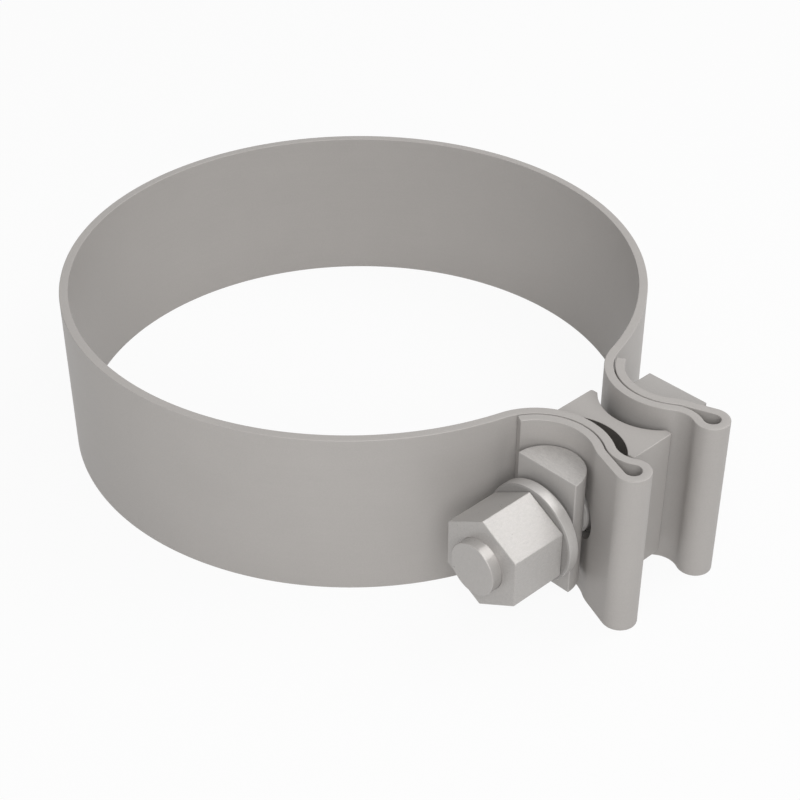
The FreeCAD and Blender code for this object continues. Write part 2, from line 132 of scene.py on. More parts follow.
class ClampFastenerSizes(bpy.types.PropertyGroup):
    """Sizes of the bolt, bar, spacer, washer and nut"""

    saddle: FloatProperty(
        name="Saddle radius", description="Radius of the bolt head's and the bar's round side",
        default=6.35 * MM, min=0.005, max=0.007, unit="LENGTH", precision=5)
    shank: FloatProperty(
        name="Bolt radius", description="Radius of the bolt's shank",
        default=4.7625 * MM, min=0.003, max=0.005, unit="LENGTH", precision=5)
    hole: FloatProperty(
        name="Hole radius", description="Radius of the holes that the bolt goes through",
        default=5.1625 * MM, min=0.0048, max=0.0056, unit="LENGTH", precision=5)
    break_edge: FloatProperty(
        name="Broken edge", description="Small round on the outer edges of the solid pieces",
        default=0.18 * MM, min=0.00002, max=0.0006, unit="LENGTH", precision=5)
    washer_edge: FloatProperty(
        name="Washer edge", description="Round on the washer's stamped edges",
        default=0.38 * MM, min=0.00002, max=0.0008, unit="LENGTH", precision=5)
    waist: FloatProperty(
        name="Spacer waist", description="Spacer at its thinnest, on the bolt's axis",
        default=2.7 * MM, min=0.001, max=0.006, unit="LENGTH", precision=5)
    spacer_tip: FloatProperty(
        name="Spacer tip", description="Flat of each of the spacer's four tips",
        default=1.34 * MM, min=0.0006, max=0.003, unit="LENGTH", precision=5)
    spacer_round: FloatProperty(
        name="Spacer round", description="Rounding of the spacer's tips",
        default=0.5 * MM, min=0.0001, max=0.0006, unit="LENGTH", precision=5)
    pitch: FloatProperty(
        name="Thread pitch", description="Distance between two thread crests",
        default=1.5875 * MM, min=0.0008, max=0.002, unit="LENGTH", precision=5)
    thread_depth: FloatProperty(
        name="Thread depth", description="Depth of the bolt's thread",
        default=0.97 * MM, min=0.0001, max=0.0012, unit="LENGTH", precision=5)
    nut_thread_depth: FloatProperty(
        name="Nut thread depth", description="Depth of the grooves in the nut's bore",
        default=0.55 * MM, min=0.0001, max=0.0012, unit="LENGTH", precision=5)


class ClampFinish(bpy.types.PropertyGroup):
    """Colours and finish of the steel"""

    strap_steel: FloatVectorProperty(
        name="Strap steel", description="Colour of the rolled strap",
        subtype="COLOR", size=3, min=0.0, max=1.0, default=(0.40, 0.381, 0.365))
    fastener_steel: FloatVectorProperty(
        name="Fastener steel", description="Colour of the bolt, bar and nut",
        subtype="COLOR", size=3, min=0.0, max=1.0, default=(0.40, 0.384, 0.370))
    # Partly painted light: lighter than the fastener steel, as a painted highlight on the washer's rim and
    # as light on the bar's bare sawn ends
    bare_edge: FloatVectorProperty(
        name="Bare edges", description="Colour of the bar's sawn ends and the washer's stamped rim",
        subtype="COLOR", size=3, min=0.0, max=1.0, default=(0.465, 0.448, 0.433))
    # Painted shade: a darker colour on the washer's flat faces, for the shade beside the nut
    washer_face: FloatVectorProperty(
        name="Washer faces", description="Colour of the washer's dull flat faces",
        subtype="COLOR", size=3, min=0.0, max=1.0, default=(0.27, 0.259, 0.250))
    # Painted shade: a dark colour that stands in for the shade deep in the spacer's hollow sides
    hollow: FloatVectorProperty(
        name="Hollow sides", description="Colour of the scale left in the spacer's hollow sides",
        subtype="COLOR", size=3, min=0.0, max=1.0, default=(0.085, 0.078, 0.070))
    satin: FloatProperty(
        name="Satin", description="Roughness of the steel", subtype="FACTOR",
        default=0.42, min=0.1, max=0.9)


class ClampStage(bpy.types.PropertyGroup):
    """Floor, backdrop and light"""

    floor: FloatVectorProperty(
        name="Floor", description="Colour of the floor",
        subtype="COLOR", size=3, min=0.0, max=1.0, default=(0.66, 0.66, 0.66))
    backdrop: FloatVectorProperty(
        name="Backdrop", description="Colour seen behind the clamp, where the floor ends",
        subtype="COLOR", size=3, min=0.0, max=1.0, default=(0.972, 0.972, 0.972))
    floor_white: FloatProperty(
        name="Floor white",
        description="Share of plain white in the floor as it is seen; the rest shows shadows",
        default=0.93, min=0.0, max=1.0, subtype="FACTOR")
    room: FloatProperty(
        name="Room light", description="Strength of the even light from all round",
        default=0.46, min=0.0, max=2.0)
    key: FloatProperty(
        name="Key light", description="Power of the soft lamp above and behind the clamp",
        default=1.3, min=0.0, max=20.0, unit="POWER")
    fill: FloatProperty(
        name="Fill light", description="Power of the wide lamp on the camera's side",
        default=3.06, min=0.0, max=20.0, unit="POWER")


class ClampSettings(bpy.types.PropertyGroup):
    """All settings of the clamp"""

    strap: PointerProperty(type=ClampStrapSizes, name="Strap")
    fasteners: PointerProperty(type=ClampFastenerSizes, name="Fasteners")
    finish: PointerProperty(type=ClampFinish, name="Finish")
    stage: PointerProperty(type=ClampStage, name="Stage")


# Node trees in general


class Wiring:
    """Adds nodes to a tree and links them, so that each tree below reads like a recipe"""

    def __init__(self, tree):
        self.tree = tree

    def feed(self, socket, value):
        """Links a socket to another node's output, or sets it to a plain value."""
        if isinstance(value, bpy.types.NodeSocket):
            self.tree.links.new(value, socket)
        else:
            socket.default_value = value

    def add(self, kind, inputs=None, **settings):
        node = self.tree.nodes.new(kind)
        for name, value in settings.items():
            setattr(node, name, value)
        for key, value in (inputs or {}).items():
            self.feed(node.inputs[key], value)
        return node

    def math(self, operation, *values, clamp=False):
        node = self.add("ShaderNodeMath", operation=operation, use_clamp=clamp)
        for socket, value in zip(node.inputs, values):
            self.feed(socket, value)
        return node.outputs[0]


# Edges with a sharper turn than this stay sharp in the shading
SHARP_ANGLE = math.radians(32.0)


def new_tree(name, sizes):
    """A geometry tree with a geometry input, named sizes and a material."""
    tree = bpy.data.node_groups.new(name, "GeometryNodeTree")
    tree.interface.new_socket("Geometry", in_out="INPUT", socket_type="NodeSocketGeometry")
    for size in sizes:
        tree.interface.new_socket(size, in_out="INPUT", socket_type="NodeSocketFloat")
    tree.interface.new_socket("Steel", in_out="INPUT", socket_type="NodeSocketMaterial")
    tree.interface.new_socket("Geometry", in_out="OUTPUT", socket_type="NodeSocketGeometry")
    wiring = Wiring(tree)
    return tree, wiring, wiring.add("NodeGroupInput").outputs


def end_tree(net, geometry, steel):
    """Smooth faces with sharp edges kept, then Realize Instances and Set Material."""
    smooth = net.add("GeometryNodeSetShadeSmooth", {
        "Geometry": geometry, "Shade Smooth": True}, domain="FACE")
    angle = net.add("GeometryNodeInputMeshEdgeAngle").outputs["Unsigned Angle"]
    edges = net.add("GeometryNodeSetShadeSmooth", {
        "Geometry": smooth.outputs[0], "Selection": net.math("GREATER_THAN", angle, SHARP_ANGLE),
        "Shade Smooth": False}, domain="EDGE")
    real = net.add("GeometryNodeRealizeInstances", {"Geometry": edges.outputs[0]})
    done = net.add("GeometryNodeSetMaterial", {"Geometry": real.outputs[0], "Material": steel})
    net.add("NodeGroupOutput", {"Geometry": done.outputs[0]})


def run_tree(piece, tree, **values):
    """Puts a tree on a piece, with its inputs set by identifier before anything is evaluated."""
    modifier = piece.modifiers.new(tree.name, "NODES")
    modifier.node_group = tree
    for item in tree.interface.items_tree:
        key = item.name.replace(" ", "_")
        if item.in_out == "INPUT" and key in values:
            modifier[item.identifier] = values[key]


# Pieces in general


def new_piece(name, mesh):
    piece = bpy.data.objects.new(name, mesh)
    bpy.context.scene.collection.objects.link(piece)
    return piece


def settle(piece, steel):
    """Turns the piece with all its modifiers into a plain mesh with one material."""
    bpy.context.view_layer.update()
    graph = bpy.context.evaluated_depsgraph_get()
    mesh = bpy.data.meshes.new_from_object(piece.evaluated_get(graph), depsgraph=graph)
    piece.modifiers.clear()
    piece.data = mesh
    mesh.name = piece.name
    mesh.materials.clear()
    mesh.materials.append(steel)
    if len(mesh.polygons) == 0:
        raise RuntimeError(f"{piece.name} came out empty")


def even_shade(piece, steel):
    """Smooth shading that keeps sharp edges and leans on the large faces."""
    mesh = piece.data
    mesh.shade_smooth()
    mesh.set_sharp_from_angle(angle=SHARP_ANGLE)
    lean = piece.modifiers.new("Even shading", "WEIGHTED_NORMAL")
    lean.mode = "FACE_AREA"
    lean.weight = 50
    lean.keep_sharp = True
    settle(piece, steel)


def bevel(piece, width):
    """Rounds the piece's outer edges, but not the joints between the facets of a round side."""
    edge = piece.modifiers.new("Broken edges", "BEVEL")
    edge.width = width
    edge.segments = 3
    edge.limit_method = "ANGLE"
    edge.angle_limit = math.radians(40.0)
    edge.harden_normals = False


def combine(piece, other, operation, steel):
    """Joins another object to the piece or cuts it away, and evens out the shading."""
    cut = piece.modifiers.new(operation.title(), "BOOLEAN")
    cut.object = other
    cut.operation = operation
    cut.solver = "EXACT"
    settle(piece, steel)
    bpy.data.objects.remove(other)
    even_shade(piece, steel)


def finish_piece(piece, node, body):
    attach(piece, body)
    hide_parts(node)


# Shapes. Angles are in degrees, and one step is the turn from a point of an arc to the next
LAP_STEP, CRADLE_STEP, NECK_STEP, LOOP_STEP, RING_STEP = 3.0, 2.5, 3.5, 7.5, 1.5


def arc_points(centre, radius, start, end, step):
    """Points along an arc, both ends included."""
    count = max(2, round(abs(end - start) / step))
    angles = np.radians(np.linspace(start, end, count + 1))
    return [(centre.x + radius * math.cos(a), centre.y + radius * math.sin(a)) for a in angles]


def strap_line(strap, saddle):
    """Middle line of the strap, in metres, from one turned-back end round the ring to the other.

    The turned-back layer lies along the cradle and the neck and runs straight into the loop. From
    there the strap comes back over the neck, round the cradle and into the ring.
    """
    layer = strap.wall + strap.fold_gap
    ear_face = saddle + strap.cradle_ease + strap.wall + layer
    cradle = Vector((middle("d_head_bolt", 0), strap.ear_gap / 2 + ear_face))
    cradle_radius = ear_face - strap.wall / 2
    neck_height = (strap.neck_gap + strap.wall) / 2 - strap.neck_radius
    cradle_to_neck = cradle_radius + strap.neck_radius
    out = math.sqrt(cradle_to_neck ** 2 - (cradle.y - neck_height) ** 2)
    neck = Vector((cradle.x + out, neck_height))
    loop_radius = (strap.loop_bore + strap.wall) / 2
    neck_to_loop = strap.neck_radius + loop_radius
    loop = neck + neck_to_loop * Vector((math.cos(strap.neck_turn), math.sin(strap.neck_turn)))

    lap_end = math.degrees(strap.lap_angle) - 180
    neck_turn = math.degrees(strap.neck_turn)
    leave_ring = math.degrees(math.atan2(cradle.y, cradle.x))
    leave_cradle = math.degrees(math.atan2(neck.y - cradle.y, neck.x - cradle.x))
    enter_neck = leave_cradle + 180
    rise = (strap.neck_radius + layer - loop_radius) / neck_to_loop
    leave_loop = neck_turn + 90 - math.degrees(math.asin(rise))

    ear = arc_points(cradle, cradle_radius - layer, lap_end, leave_cradle, LAP_STEP)
    ear += arc_points(neck, strap.neck_radius + layer, enter_neck, leave_loop, LAP_STEP)[1:]
    ear += arc_points(loop, loop_radius, leave_loop, neck_turn - 180, LOOP_STEP)
    ear += arc_points(neck, strap.neck_radius, neck_turn, enter_neck, NECK_STEP)[1:]
    ear += arc_points(cradle, cradle_radius, leave_cradle, leave_ring - 180, CRADLE_STEP)[1:]
    # The ring has a point where it is widest, so that it is as wide as the solid
    centre = Vector((0.0, 0.0))
    radius = -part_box("band")[0].x - strap.wall / 2
    ring = arc_points(centre, radius, leave_ring, 90, RING_STEP)[1:]
    ring += arc_points(centre, radius, 90, 180, RING_STEP)[1:]
    upper = ear + ring
    lower = [(x, -y) for x, y in reversed(upper[:-1])]
    return [Vector((x, y, 0.0)) for x, y in upper + lower]


def line_mesh(name, points):
    mesh = bpy.data.meshes.new(name)
    mesh.from_pydata(points, [(i, i + 1) for i in range(len(points) - 1)], [])
    return mesh


def close_mesh(name, work):
    """A mesh of the finished work, with its faces turned outwards."""
    bmesh.ops.recalc_face_normals(work, faces=work.faces)
    mesh = bpy.data.meshes.new(name)
    work.to_mesh(mesh)
    work.free()
    return mesh


def prism_mesh(name, outline, low, high, axis):
    """Closed solid: an outline in metres carried along an axis (1 is Y, 2 is Z) from low to high."""
    work = bmesh.new()

    def at(a, b, c):
        return (a, c, b) if axis == 1 else (a, b, c)

    bottom = [work.verts.new(at(a, b, low)) for a, b in outline]
    top = [work.verts.new(at(a, b, high)) for a, b in outline]
    work.faces.new(bottom)
    work.faces.new(top)
    for i in range(len(outline)):
        j = (i + 1) % len(outline)
        work.faces.new((bottom[i], bottom[j], top[j], top[i]))
    return close_mesh(name, work)


def turned_mesh(name, profile, x, columns):
    """Closed solid turned about the bolt's axis, a line along Y. The profile is (radius, y) pairs."""
    work = bmesh.new()
    turns = [2 * math.pi * k / columns for k in range(columns)]
    rings = [[work.verts.new((x + radius * math.sin(a), y, radius * math.cos(a))) for a in turns]
             for radius, y in profile]
    for one, other in zip(rings, rings[1:]):
        for k in range(columns):
            j = (k + 1) % columns
            work.faces.new((one[k], one[j], other[j], other[k]))
    work.faces.new(rings[0])
    work.faces.new(rings[-1])
    return close_mesh(name, work)


def quarter_round(steps=6):
    """Points of a quarter round, as shares of its radius in from the side and in from the end."""
    angles = [math.pi * k / (2 * steps) for k in range(steps + 1)]
    return [(1 - math.sin(a), 1 - math.cos(a)) for a in angles]


def half_round(x, crown, flat, radius, steps=60):
    """Outline of a half round: its crown towards y = 0, straight flanks and a flat back."""
    side = math.copysign(1.0, flat)
    centre = crown + side * radius
    points = [(x + radius, flat), (x + radius, centre)]
    for k in range(1, steps):
        angle = math.pi * k / steps
        points.append((x + radius * math.cos(angle), centre - side * radius * math.sin(angle)))
    return points + [(x - radius, centre), (x - radius, flat)]


def drill(piece, radius, x, steel):
    """The bolt's hole, right through a piece."""
    reach = 20 * MM
    pin = new_piece("pin", turned_mesh("pin", [(radius, -reach), (radius, reach)], x, 64))
    combine(piece, pin, "DIFFERENCE", steel)


# Geometry trees


def strap_tree():
    """The strap: a rounded flat section carried along the folded line, with the bolt slots punched out."""
    tree, net, given = new_tree("folded_strap", [
        "Strap Width", "Strap Wall", "Edge Round", "Slot Length", "Slot Height", "Slot Place", "Slot Reach"])
    line = net.add("GeometryNodeMeshToCurve", {"Mesh": given["Geometry"]})
    upright = net.add("GeometryNodeSetCurveNormal", {"Curve": line.outputs[0]}, mode="Z_UP")
    section = net.add("GeometryNodeCurvePrimitiveQuadrilateral", {
        "Width": given["Strap Wall"], "Height": given["Strap Width"]}, mode="RECTANGLE")
    rounded = net.add("GeometryNodeFilletCurve", {
        "Curve": section.outputs[0], "Count": 3, "Radius": given["Edge Round"]}, mode="POLY")
    strap = net.add("GeometryNodeCurveToMesh", {
        "Curve": upright.outputs[0], "Profile Curve": rounded.outputs[0], "Fill Caps": True})
    slot = net.add("GeometryNodeCurvePrimitiveQuadrilateral", {
        "Width": given["Slot Length"], "Height": given["Slot Height"]}, mode="RECTANGLE")
    # A little under half the height, so that the two rounds of an end don't meet in one point
    end_radius = net.math("MULTIPLY", given["Slot Height"], 0.499)
    round_ends = net.add("GeometryNodeFilletCurve", {
        "Curve": slot.outputs[0], "Count": 14, "Radius": end_radius}, mode="POLY")
    back = net.math("MULTIPLY", given["Slot Reach"], -1.0)
    start = net.add("ShaderNodeCombineXYZ", {"X": given["Slot Place"], "Y": back})
    stop = net.add("ShaderNodeCombineXYZ", {"X": given["Slot Place"], "Y": given["Slot Reach"]})
    through = net.add("GeometryNodeCurvePrimitiveLine", {
        "Start": start.outputs[0], "End": stop.outputs[0]}, mode="POINTS")
    level = net.add("GeometryNodeSetCurveNormal", {"Curve": through.outputs[0]}, mode="Z_UP")
    punch = net.add("GeometryNodeCurveToMesh", {
        "Curve": level.outputs[0], "Profile Curve": round_ends.outputs[0], "Fill Caps": True})
    cut = net.add("GeometryNodeMeshBoolean", operation="DIFFERENCE", solver="EXACT")
    tree.links.new(strap.outputs[0], cut.inputs["Mesh 1"])
    tree.links.new(punch.outputs[0], cut.inputs["Mesh 2"])
    end_tree(net, cut.outputs["Mesh"], given["Steel"])
    return tree


def washer_tree():
    """The washer: a rounded flat section carried round the bolt."""
    tree, net, given = new_tree("flat_washer", ["Middle Radius", "Ring Width", "Thickness", "Edge Round"])
    ring = net.add("GeometryNodeCurvePrimitiveCircle", {
        "Resolution": 128, "Radius": given["Middle Radius"]}, mode="RADIUS")
    section = net.add("GeometryNodeCurvePrimitiveQuadrilateral", {
        "Width": given["Ring Width"], "Height": given["Thickness"]}, mode="RECTANGLE")
    rounded = net.add("GeometryNodeFilletCurve", {
        "Curve": section.outputs[0], "Count": 4, "Radius": given["Edge Round"]}, mode="POLY")
    upright = net.add("GeometryNodeSetCurveNormal", {"Curve": ring.outputs[0]}, mode="Z_UP")
    body = net.add("GeometryNodeCurveToMesh", {
        "Curve": upright.outputs[0], "Profile Curve": rounded.outputs[0], "Fill Caps": False})
    end_tree(net, body.outputs[0], given["Steel"])
    return tree


# The thread's section, as shares of its pitch: the flat of its crest, and one flank
CREST_SHARE, FLANK_SHARE = 0.125, 0.354
# How far off the wall's radius a point still counts as on it, and a radius that is never reached
ON_WALL, NO_RADIUS = 0.02 * MM, 0.1 * MM


def thread_tree():
    """A right-hand thread: the round wall inside a span of Y goes in and out along a helix."""
    tree, net, given = new_tree("screw_thread", [
        "Axis X", "Wall Radius", "Pitch", "Depth", "Thread Low", "Thread High", "Run Out"])
    place = net.add("GeometryNodeInputPosition").outputs[0]
    parts = net.add("ShaderNodeSeparateXYZ", {"Vector": place}).outputs
    x = net.math("SUBTRACT", parts["X"], given["Axis X"])
    z = parts["Z"]
    radius = net.math("SQRT", net.math("ADD", net.math("MULTIPLY", x, x), net.math("MULTIPLY", z, z)))
    turn = net.math("DIVIDE", net.math("ARCTAN2", x, z), 2 * math.pi)
    phase = net.math("FRACT", net.math("SUBTRACT", net.math("DIVIDE", parts["Y"], given["Pitch"]), turn))
    from_root = net.math("ABSOLUTE", net.math("SUBTRACT", phase, 0.5))
    off_crest = net.math("SUBTRACT", 0.5 - CREST_SHARE / 2, from_root)
    cut = net.math("DIVIDE", off_crest, FLANK_SHARE, clamp=True)
    from_low = net.math("SUBTRACT", parts["Y"], given["Thread Low"])
    from_high = net.math("SUBTRACT", given["Thread High"], parts["Y"])
    rise = net.math("DIVIDE", from_low, given["Run Out"], clamp=True)
    fall = net.math("DIVIDE", from_high, given["Run Out"], clamp=True)
    deep = net.math("MULTIPLY", net.math("MULTIPLY", cut, given["Depth"]), net.math("MULTIPLY", rise, fall))
    off_wall = net.math("ABSOLUTE", net.math("SUBTRACT", radius, given["Wall Radius"]))
    on_wall = net.math("LESS_THAN", off_wall, ON_WALL)
    share = net.math("DIVIDE", net.math("MULTIPLY", deep, on_wall), net.math("MAXIMUM", radius, NO_RADIUS))
    inwards = net.math("MULTIPLY", share, -1.0)
    move = net.add("ShaderNodeCombineXYZ", {
        "X": net.math("MULTIPLY", x, inwards), "Z": net.math("MULTIPLY", z, inwards)})
    moved = net.add("GeometryNodeSetPosition", {"Geometry": given["Geometry"], "Offset": move.outputs[0]})
    end_tree(net, moved.outputs[0], given["Steel"])
    return tree


# Steel

# For each steel: the setting that holds its colour, how much rougher than satin it is, how finely its
# grain lies along X, Y and Z, how fine its specks are, how strongly grain, specks and cloud mark its
# colour, and its bump, metal and gloss
STEELS = {
    "rolled_strap_steel": {
        "colour": "strap_steel", "rougher": 0.06, "grain": (60.0, 60.0, 2600.0), "fine": 4200.0,
        "marks": (0.06, 0.16, 0.10), "bump": 0.18, "metal": 0.1, "gloss": 0.2},
    "turned_steel": {
        "colour": "fastener_steel", "rougher": -0.1, "grain": (1400.0, 4200.0, 1400.0), "fine": 5200.0,
        "marks": (0.16, 0.20, 0.08), "bump": 0.35, "metal": 0.36, "gloss": 0.45},
    "brushed_nut_steel": {
        "colour": "fastener_steel", "rougher": -0.1, "grain": (3000.0, 1400.0, 3000.0), "fine": 5200.0,
        "marks": (0.34, 0.30, 0.08), "bump": 0.35, "metal": 0.22, "gloss": 0.4},
    # Painted highlight: the washer's rim gets the lighter colour, which stands in for its highlight
    "stamped_rim_steel": {
        "colour": "bare_edge", "rougher": -0.06, "grain": (1400.0, 4200.0, 1400.0), "fine": 5200.0,
        "marks": (0.16, 0.20, 0.08), "bump": 0.35, "metal": 0.36, "gloss": 0.45},
    # Painted shade: the washer's flat faces are darker, standing in for the shade beside the nut
    "dull_washer_steel": {
        "colour": "washer_face", "rougher": 0.0, "grain": (2600.0, 2600.0, 2600.0), "fine": 4600.0,
        "marks": (0.20, 0.25, 0.10), "bump": 0.3, "metal": 0.1, "gloss": 0.2},
    "drawn_bar_steel": {
        "colour": "fastener_steel", "rougher": 0.0, "grain": (2600.0, 2600.0, 90.0), "fine": 4600.0,
        "marks": (0.10, 0.20, 0.08), "bump": 0.25, "metal": 0.1, "gloss": 0.2},
    # Bare sawn metal, and partly painted light: the lighter colour stands in for light on the bar's recessed
    # top end
    "sawn_end_steel": {
        "colour": "bare_edge", "rougher": 0.0, "grain": (1100.0, 3600.0, 1100.0), "fine": 4600.0,
        "marks": (0.45, 0.35, 0.10), "bump": 0.6, "metal": 0.25, "gloss": 0.2},
    # Painted shade: a near-black colour for the shade deep in the spacer's hollow sides
    "scaled_hollow_steel": {
        "colour": "hollow", "rougher": 0.15, "grain": (900.0, 900.0, 900.0), "fine": 4200.0,
        "marks": (0.4, 0.3, 0.3), "bump": 0.5, "metal": 0.1, "gloss": 0.2},
}
# The colour of the darkest and the lightest marks, as shares of the steel's own
DARKEST, LIGHTEST = 0.6, 1.4
# How far the marks move the roughness up and down, and how deep the bump is
ROUGH_SWING = 0.06
BUMP_DEPTH = 0.1 * MM
CLOUD_FINENESS = 70.0
# How much of the bump and of the roughness is grain, the rest being specks or cloud
GRAIN_PART = 0.6


def steel_material(name, colour, rough, grain, fine, marks, bump, metal, gloss):
    """Satin steel. Three marks vary its colour: grain drawn out one way, fine specks and a faint cloud.
    The grain also makes its bump with the specks, and its roughness with the cloud."""
    material = bpy.data.materials.new(name)
    material.use_nodes = True
    tree = material.node_tree
    tree.nodes.clear()
    net = Wiring(tree)
    place = net.add("ShaderNodeTexCoord").outputs["Object"]

    def noise(vector, scale, detail, roughness):
        return net.add("ShaderNodeTexNoise", {
            "Vector": vector, "Scale": scale, "Detail": detail, "Roughness": roughness}).outputs["Fac"]

    drawn = net.add("ShaderNodeMapping", {"Vector": place, "Scale": grain})
    streaks = noise(drawn.outputs[0], 1.0, 3.0, 0.6)
    specks = noise(place, fine, 2.0, 0.55)
    cloud = noise(place, CLOUD_FINENESS, 4.0, 0.6)
    tone = 0.5
    for pattern, share in zip((streaks, specks, cloud), marks):
        tone = net.math("MULTIPLY_ADD", net.math("SUBTRACT", pattern, 0.5), share, tone)
    mix = net.add("ShaderNodeMix", data_type="RGBA")
    tree.links.new(tone, mix.inputs["Factor"])
    mix.inputs[6].default_value = (*[c * DARKEST for c in colour], 1.0)
    mix.inputs[7].default_value = (*[min(1.0, c * LIGHTEST) for c in colour], 1.0)
    rough_marks = net.math("MULTIPLY_ADD", streaks, GRAIN_PART, net.math("MULTIPLY", cloud, 1 - GRAIN_PART))
    roughness = net.add("ShaderNodeMapRange", {
        "Value": rough_marks, "From Min": 0.3, "From Max": 0.7,
        "To Min": rough - ROUGH_SWING, "To Max": rough + ROUGH_SWING})
    height = net.math("MULTIPLY_ADD", streaks, GRAIN_PART, net.math("MULTIPLY", specks, 1 - GRAIN_PART))
    grooves = net.add("ShaderNodeBump", {"Height": height, "Strength": bump, "Distance": BUMP_DEPTH})
    shader = net.add("ShaderNodeBsdfPrincipled", {
        "Base Color": mix.outputs[2], "Roughness": roughness.outputs[0], "Normal": grooves.outputs[0],
        "Metallic": metal, "Specular IOR Level": gloss})
    net.add("ShaderNodeOutputMaterial", {"Surface": shader.outputs[0]})
    return material


def get_steel(name):
    """One of the clamp's steels, made once."""
    known = bpy.data.materials.get(name)
    if known:
        return known
    finish = bpy.context.scene.exhaust_clamp.finish
    recipe = dict(STEELS[name])
    colour = getattr(finish, recipe.pop("colour"))
    rough = finish.satin + recipe.pop("rougher")
    return steel_material(name, colour, rough, **recipe)


def give_faces(piece, steel, wanted):
    """Gives a second steel to the faces whose (centre, normal) the test wants."""
    piece.data.materials.append(steel)
    for face in piece.data.polygons:
        if wanted(face.center, face.normal):
            face.material_index = 1


# Operators


class CLAMP_OT_make_strap(bpy.types.Operator):
    """Makes the folded strap that forms the ring and both ears"""

    bl_idname = "clamp.make_strap"
    bl_label = "Make strap"

    # Half the punch that makes the slots, on the bolt's axis
    punch_reach = 30 * MM

    def execute(self, context):
        clamp = context.scene.exhaust_clamp
        sizes = clamp.strap
        steel = get_steel("rolled_strap_steel")
        line = strap_line(sizes, clamp.fasteners.saddle)
        piece = new_piece("folded_strap", line_mesh("strap_line", line))
        run_tree(
            piece, strap_tree(), Strap_Width=sizes.width, Strap_Wall=sizes.wall, Edge_Round=sizes.edge,
            Slot_Length=sizes.slot_length, Slot_Height=sizes.slot_height,
            Slot_Place=middle("spacer", 0), Slot_Reach=self.punch_reach, Steel=steel)
        settle(piece, steel)
        even_shade(piece, steel)
        finish_piece(piece, "band", "clamp_body")
        return {"FINISHED"}


class CLAMP_OT_make_spacer(bpy.types.Operator):
    """Makes the spacer with two hollow sides"""

    bl_idname = "clamp.make_spacer"
    bl_label = "Make spacer"

    # How far the painted shade stays off the mouth of a hollow, outwards and along the bolt
    clean_lip, clean_rim = 0.19 * MM, 0.4 * MM
    steps = 40

    def execute(self, context):
        sizes = context.scene.exhaust_clamp.fasteners
        steel = get_steel("rolled_strap_steel")
        low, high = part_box("spacer")
        x, y = middle("spacer", 0), middle("spacer", 1)
        half_x, half_y = span("spacer", 0) / 2, span("spacer", 1) / 2
        mouth = half_x - sizes.spacer_tip
        outline = self.outline(sizes, x, y, half_x, half_y, mouth)
        piece = new_piece("spacer_block", prism_mesh("spacer_block", outline, low.z, high.z, 2))
        bevel(piece, sizes.break_edge)
        drill(piece, sizes.hole, x, steel)

        # Painted shade: the faces deep in each hollow get the dark hollow colour
        def in_painted_shade(centre, normal):
            faces_bolt = abs(normal.z) < 0.3 and abs(normal.y) > 0.5
            in_mouth = abs(centre.x - x) < mouth - self.clean_lip
            return faces_bolt and in_mouth and abs(centre.y - y) < half_y - self.clean_rim

        give_faces(piece, get_steel("scaled_hollow_steel"), in_painted_shade)
        finish_piece(piece, "spacer", "spacer_body")
        return {"FINISHED"}

    def outline(self, sizes, x, y, half_x, half_y, mouth):
        """The spacer seen along the pipe: a hollow and an end with two round corners, then both turned."""
        depth = half_y - sizes.waist / 2
        hollow = (mouth ** 2 + depth ** 2) / (2 * depth)
        centre = sizes.waist / 2 + hollow
        reach = math.asin(mouth / hollow)
        half = []
        for k in range(self.steps + 1):
            angle = reach - 2 * reach * k / self.steps
            half.append((-hollow * math.sin(angle), centre - hollow * math.cos(angle)))
        tip = sizes.spacer_round
        half += [(half_x - tip * a, half_y - tip * b) for a, b in quarter_round()]
        half += [(half_x - tip * b, tip * a - half_y) for a, b in quarter_round()]
        return [(x + side * a, y + side * b) for side in (1, -1) for a, b in half]


class CLAMP_OT_make_bolt(bpy.types.Operator):
    """Makes the bolt with its D-shaped head"""

    bl_idname = "clamp.make_bolt"
    bl_label = "Make bolt"

    # The thread starts inside the nut and ends inside the bar, and fades over its run out
    in_nut, in_bar, run_out = 1.275 * MM, 0.625 * MM, 0.9 * MM
    # Distance between the rings that draw the thread, and how far they go past it
    ring_step, past_thread = 0.1 * MM, 0.4 * MM
    # Where the plain tip ends, how deep the shank stands in the head, and how far inside the bar the
    # shank's turned steel ends
    tip_length, in_head, turned_in_bar = 1.375 * MM, 3.225 * MM, 0.125 * MM
    columns = 72

    def execute(self, context):
        sizes = context.scene.exhaust_clamp.fasteners
        steel = get_steel("turned_steel")
        low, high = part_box("d_head_bolt")
        bar_flat, bar_crown = (corner.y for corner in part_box("half_round_bar"))
        x = middle("d_head_bolt", 0)
        outline = half_round(x, -bar_crown, high.y, sizes.saddle)
        head = new_piece("bolt", prism_mesh("bolt", outline, low.z, high.z, 2))
        bevel(head, sizes.break_edge)

        thread_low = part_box("hex_nut")[0].y + self.in_nut
        thread_high = bar_crown - self.in_bar
        rounded = sizes.break_edge
        profile = [(sizes.shank - rounded * a, low.y + rounded * b) for a, b in quarter_round()]
        profile.append((sizes.shank, low.y + self.tip_length))
        first, last = thread_low - self.past_thread, thread_high + self.past_thread
        rings = np.linspace(first, last, round((last - first) / self.ring_step) + 1)
        profile += [(sizes.shank, float(y)) for y in rings]
        profile.append((sizes.shank, self.in_head - bar_crown))
        shank = new_piece("shank", turned_mesh("shank", profile, x, self.columns))
        run_tree(
            shank, thread_tree(), Axis_X=x, Wall_Radius=sizes.shank, Pitch=sizes.pitch,
            Depth=sizes.thread_depth, Thread_Low=thread_low, Thread_High=thread_high,
            Run_Out=self.run_out, Steel=steel)
        combine(head, shank, "UNION", steel)
        turned_end = bar_flat + self.turned_in_bar
        give_faces(head, get_steel("drawn_bar_steel"), lambda centre, normal: centre.y > turned_end)
        finish_piece(head, "d_head_bolt", "clamp_body")
        return {"FINISHED"}


